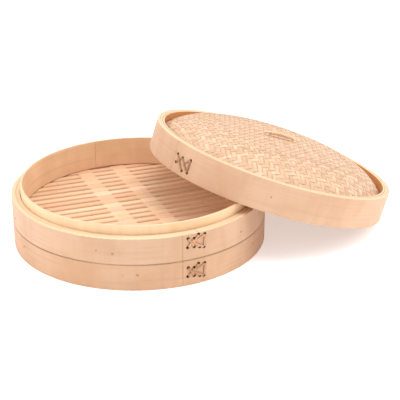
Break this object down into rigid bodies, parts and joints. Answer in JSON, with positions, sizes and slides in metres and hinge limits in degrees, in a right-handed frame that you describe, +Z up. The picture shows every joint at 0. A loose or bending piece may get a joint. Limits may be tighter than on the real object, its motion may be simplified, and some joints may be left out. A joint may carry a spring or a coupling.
{
  "type": "bamboo steamer basket",
  "caption": "Round steaming tier of coiled bamboo hoops with a slatted floor and a proud ring, and a woven, domed lid that leans off its rim.",
  "frame": {"origin": "centre of the tier's base, on the surface it stands on", "axes": "+Z up; +X along the floor slats, the way the lid leans; the camera-side lacing is near -Y"},
  "size_m": [0.3953, 0.2554, 0.1079],
  "materials": {
    "hoop_bamboo": "sanded bare bamboo strip, faint fibre lines",
    "inner_bamboo": "bare inner bamboo, smooth",
    "floor_bamboo": "planed bamboo slats",
    "peg_bamboo": "cut bamboo end grain",
    "woven_bamboo": "split bamboo skin strips, twill woven",
    "cane": "split cane, reddish brown"
  },
  "bodies": {
    "tier": {"lower_hoop": "hoop_bamboo", "lower_hoop_lacing": "cane", "lower_pegs": "peg_bamboo", "proud_ring": "inner_bamboo", "slat_01": "floor_bamboo", "slat_02": "floor_bamboo", "slat_03": "floor_bamboo", "slat_04": "floor_bamboo", "slat_05": "floor_bamboo", "slat_06": "floor_bamboo", "slat_07": "floor_bamboo", "slat_08": "floor_bamboo", "slat_09": "floor_bamboo", "slat_10": "floor_bamboo", "slat_11": "floor_bamboo", "slat_12": "floor_bamboo", "slat_13": "floor_bamboo", "slat_14": "floor_bamboo", "slat_15": "floor_bamboo", "slat_16": "floor_bamboo", "slat_17": "floor_bamboo", "slat_18": "floor_bamboo", "slat_19": "floor_bamboo", "slat_20": "floor_bamboo", "slat_21": "floor_bamboo", "support_ring": "inner_bamboo", "tie_rod_left": "peg_bamboo", "tie_rod_right": "peg_bamboo", "upper_hoop": "hoop_bamboo", "upper_hoop_lacing": "cane", "upper_pegs": "peg_bamboo"},
    "lid": {"lid_handle": "cane", "lid_handle_binding": "cane", "lid_hoop": "hoop_bamboo", "lid_lacing": "cane", "lid_lining_weave": "woven_bamboo", "lid_lower_ring": "inner_bamboo", "lid_upper_ring": "inner_bamboo", "lid_weave": "woven_bamboo"}
  },
  "joints": [
    {"name": "lid_lift", "type": "slide", "parent": "tier", "child": "lid", "axis": [0, 0, 1], "range_m": [0, 0.1]}
  ]
}
